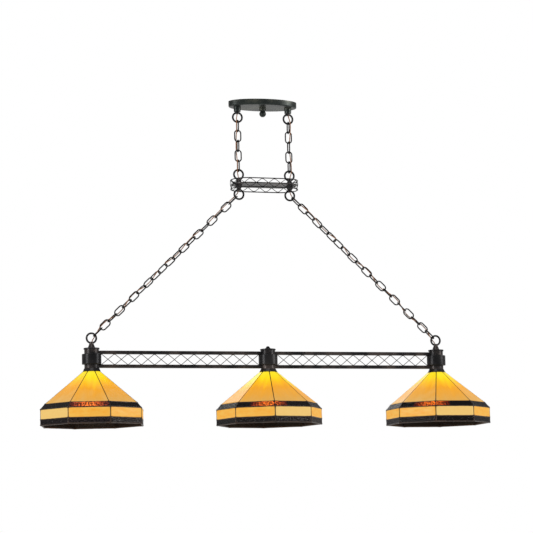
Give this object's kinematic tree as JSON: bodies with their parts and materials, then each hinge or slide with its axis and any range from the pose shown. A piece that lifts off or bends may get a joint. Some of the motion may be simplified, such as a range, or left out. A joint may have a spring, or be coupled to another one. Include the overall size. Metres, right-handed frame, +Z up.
{
  "type": "pool table lamp",
  "caption": "Bar lamp for a pool table with octagonal leaded amber glass shades, hung by chains from an oval openwork spreader and a ceiling canopy.",
  "frame": {"origin": "middle of the two ceiling screws, on the ceiling plane", "axes": "+Z up, X along the light bar, -Y towards the viewer"},
  "size_m": [1.3604, 0.3102, 0.9665],
  "materials": {
    "amber_cone_glass": "lit opalescent amber art glass",
    "amber_skirt_glass": "lit opalescent honey art glass",
    "dark_ripple_glass": "dark red-brown ripple glass",
    "lead_came": "soldered came with a dark patina",
    "bulb_glass": "frosted",
    "bulb_base_metal": "threaded sheet",
    "lamp_cord": "brown jacket",
    "zinc_steel": "zinc plated",
    "connector_plastic": "moulded",
    "socket_body": "black phenolic",
    "chain_bronze": "blackened bronze",
    "canopy_bronze": "blackened bronze",
    "bronze_metal": "blackened bronze"
  },
  "bodies": {
    "canopy": {"canopy_pan": "canopy_bronze", "mounting_strap": "zinc_steel", "mounting_stud": "zinc_steel", "canopy_knob": "canopy_bronze", "canopy_loops": "bronze_metal", "canopy_collars": "canopy_bronze", "loop_nuts": "zinc_steel", "wire_connectors": "connector_plastic", "canopy_cords": "lamp_cord"},
    "left_lead_link": {"left_lead_link": "chain_bronze", "left_lead_cord": "lamp_cord"},
    "right_lead_link": {"right_lead_link": "chain_bronze", "right_lead_cord": "lamp_cord"},
    "left_hanger": {"left_hanger_links": "chain_bronze", "left_hanger_cord": "lamp_cord"},
    "right_hanger": {"right_hanger_links": "chain_bronze", "right_hanger_cord": "lamp_cord"},
    "spreader": {"spreader_rims": "bronze_metal", "spreader_lattice": "bronze_metal", "spreader_plate": "bronze_metal", "spreader_loops": "bronze_metal", "spreader_collars": "bronze_metal", "spreader_rods": "zinc_steel", "spreader_cords": "lamp_cord"},
    "light_bar": {"bar_rails": "bronze_metal", "bar_lattice": "bronze_metal", "bar_wires": "lamp_cord", "hub_tubes": "bronze_metal", "hub_flanges": "bronze_metal", "hub_sleeves": "bronze_metal", "hub_necks": "bronze_metal", "hub_loops": "bronze_metal", "hub_rods": "zinc_steel", "centre_finial": "bronze_metal", "lamp_sockets": "socket_body", "shade_rings": "bronze_metal", "arm_chains": "chain_bronze", "left_arm_cord": "lamp_cord", "right_arm_cord": "lamp_cord"},
    "left_shade": {"left_shade_cap": "bronze_metal", "left_cone_glass": "amber_cone_glass", "left_skirt_glass": "amber_skirt_glass", "left_border_glass": "dark_ripple_glass", "left_lead_came": "lead_came"},
    "left_bulb": {"left_bulb_glass": "bulb_glass", "left_bulb_base": "bulb_base_metal"},
    "centre_shade": {"centre_shade_cap": "bronze_metal", "centre_cone_glass": "amber_cone_glass", "centre_skirt_glass": "amber_skirt_glass", "centre_border_glass": "dark_ripple_glass", "centre_lead_came": "lead_came"},
    "centre_bulb": {"centre_bulb_glass": "bulb_glass", "centre_bulb_base": "bulb_base_metal"},
    "right_shade": {"right_shade_cap": "bronze_metal", "right_cone_glass": "amber_cone_glass", "right_skirt_glass": "amber_skirt_glass", "right_border_glass": "dark_ripple_glass", "right_lead_came": "lead_came"},
    "right_bulb": {"right_bulb_glass": "bulb_glass", "right_bulb_base": "bulb_base_metal"}
  },
  "joints": [
    {"name": "fore_aft_swing", "type": "hinge", "parent": "canopy", "child": "left_lead_link", "pos_m": [-0.079, 0, -0.0627], "axis": [1, 0, 0], "range_deg": [-20, 20]},
    {"name": "right_fore_aft_swing", "type": "hinge", "parent": "canopy", "child": "right_lead_link", "pos_m": [0.079, 0, -0.0627], "axis": [1, 0, 0], "range_deg": [-20, 20]},
    {"name": "side_sway", "type": "hinge", "parent": "left_lead_link", "child": "left_hanger", "pos_m": [-0.079, 0, -0.0919], "axis": [0, 1, 0], "range_deg": [-20, 20]},
    {"name": "right_side_sway", "type": "hinge", "parent": "right_lead_link", "child": "right_hanger", "pos_m": [0.079, 0, -0.0919], "axis": [0, 1, 0], "range_deg": [-20, 20]},
    {"name": "spreader_level", "type": "hinge", "parent": "left_hanger", "child": "spreader", "pos_m": [-0.079, 0, -0.2123], "axis": [0, 1, 0], "range_deg": [-20, 20]},
    {"name": "bar_swing", "type": "hinge", "parent": "spreader", "child": "light_bar", "pos_m": [0, 0, -0.29122], "axis": [1, 0, 0], "range_deg": [-15, 15]},
    {"name": "left_shade_swivel", "type": "hinge", "parent": "light_bar", "child": "left_shade", "pos_m": [-0.53, 0, -0.802], "axis": [0, 0, 1], "continuous": true},
    {"name": "centre_shade_swivel", "type": "hinge", "parent": "light_bar", "child": "centre_shade", "pos_m": [0, 0, -0.802], "axis": [0, 0, 1], "continuous": true},
    {"name": "right_shade_swivel", "type": "hinge", "parent": "light_bar", "child": "right_shade", "pos_m": [0.53, 0, -0.802], "axis": [0, 0, 1], "continuous": true},
    {"name": "left_bulb_unscrew", "type": "slide", "parent": "light_bar", "child": "left_bulb", "axis": [0, 0, 1], "range_m": [-0.022, 0]},
    {"name": "centre_bulb_unscrew", "type": "slide", "parent": "light_bar", "child": "centre_bulb", "axis": [0, 0, 1], "range_m": [-0.022, 0]},
    {"name": "right_bulb_unscrew", "type": "slide", "parent": "light_bar", "child": "right_bulb", "axis": [0, 0, 1], "range_m": [-0.022, 0]}
  ],
  "couplings": [
    {"joint": "right_fore_aft_swing", "follows": "fore_aft_swing", "ratio": 1},
    {"joint": "right_side_sway", "follows": "side_sway", "ratio": 1},
    {"joint": "spreader_level", "follows": "side_sway", "ratio": -1}
  ]
}
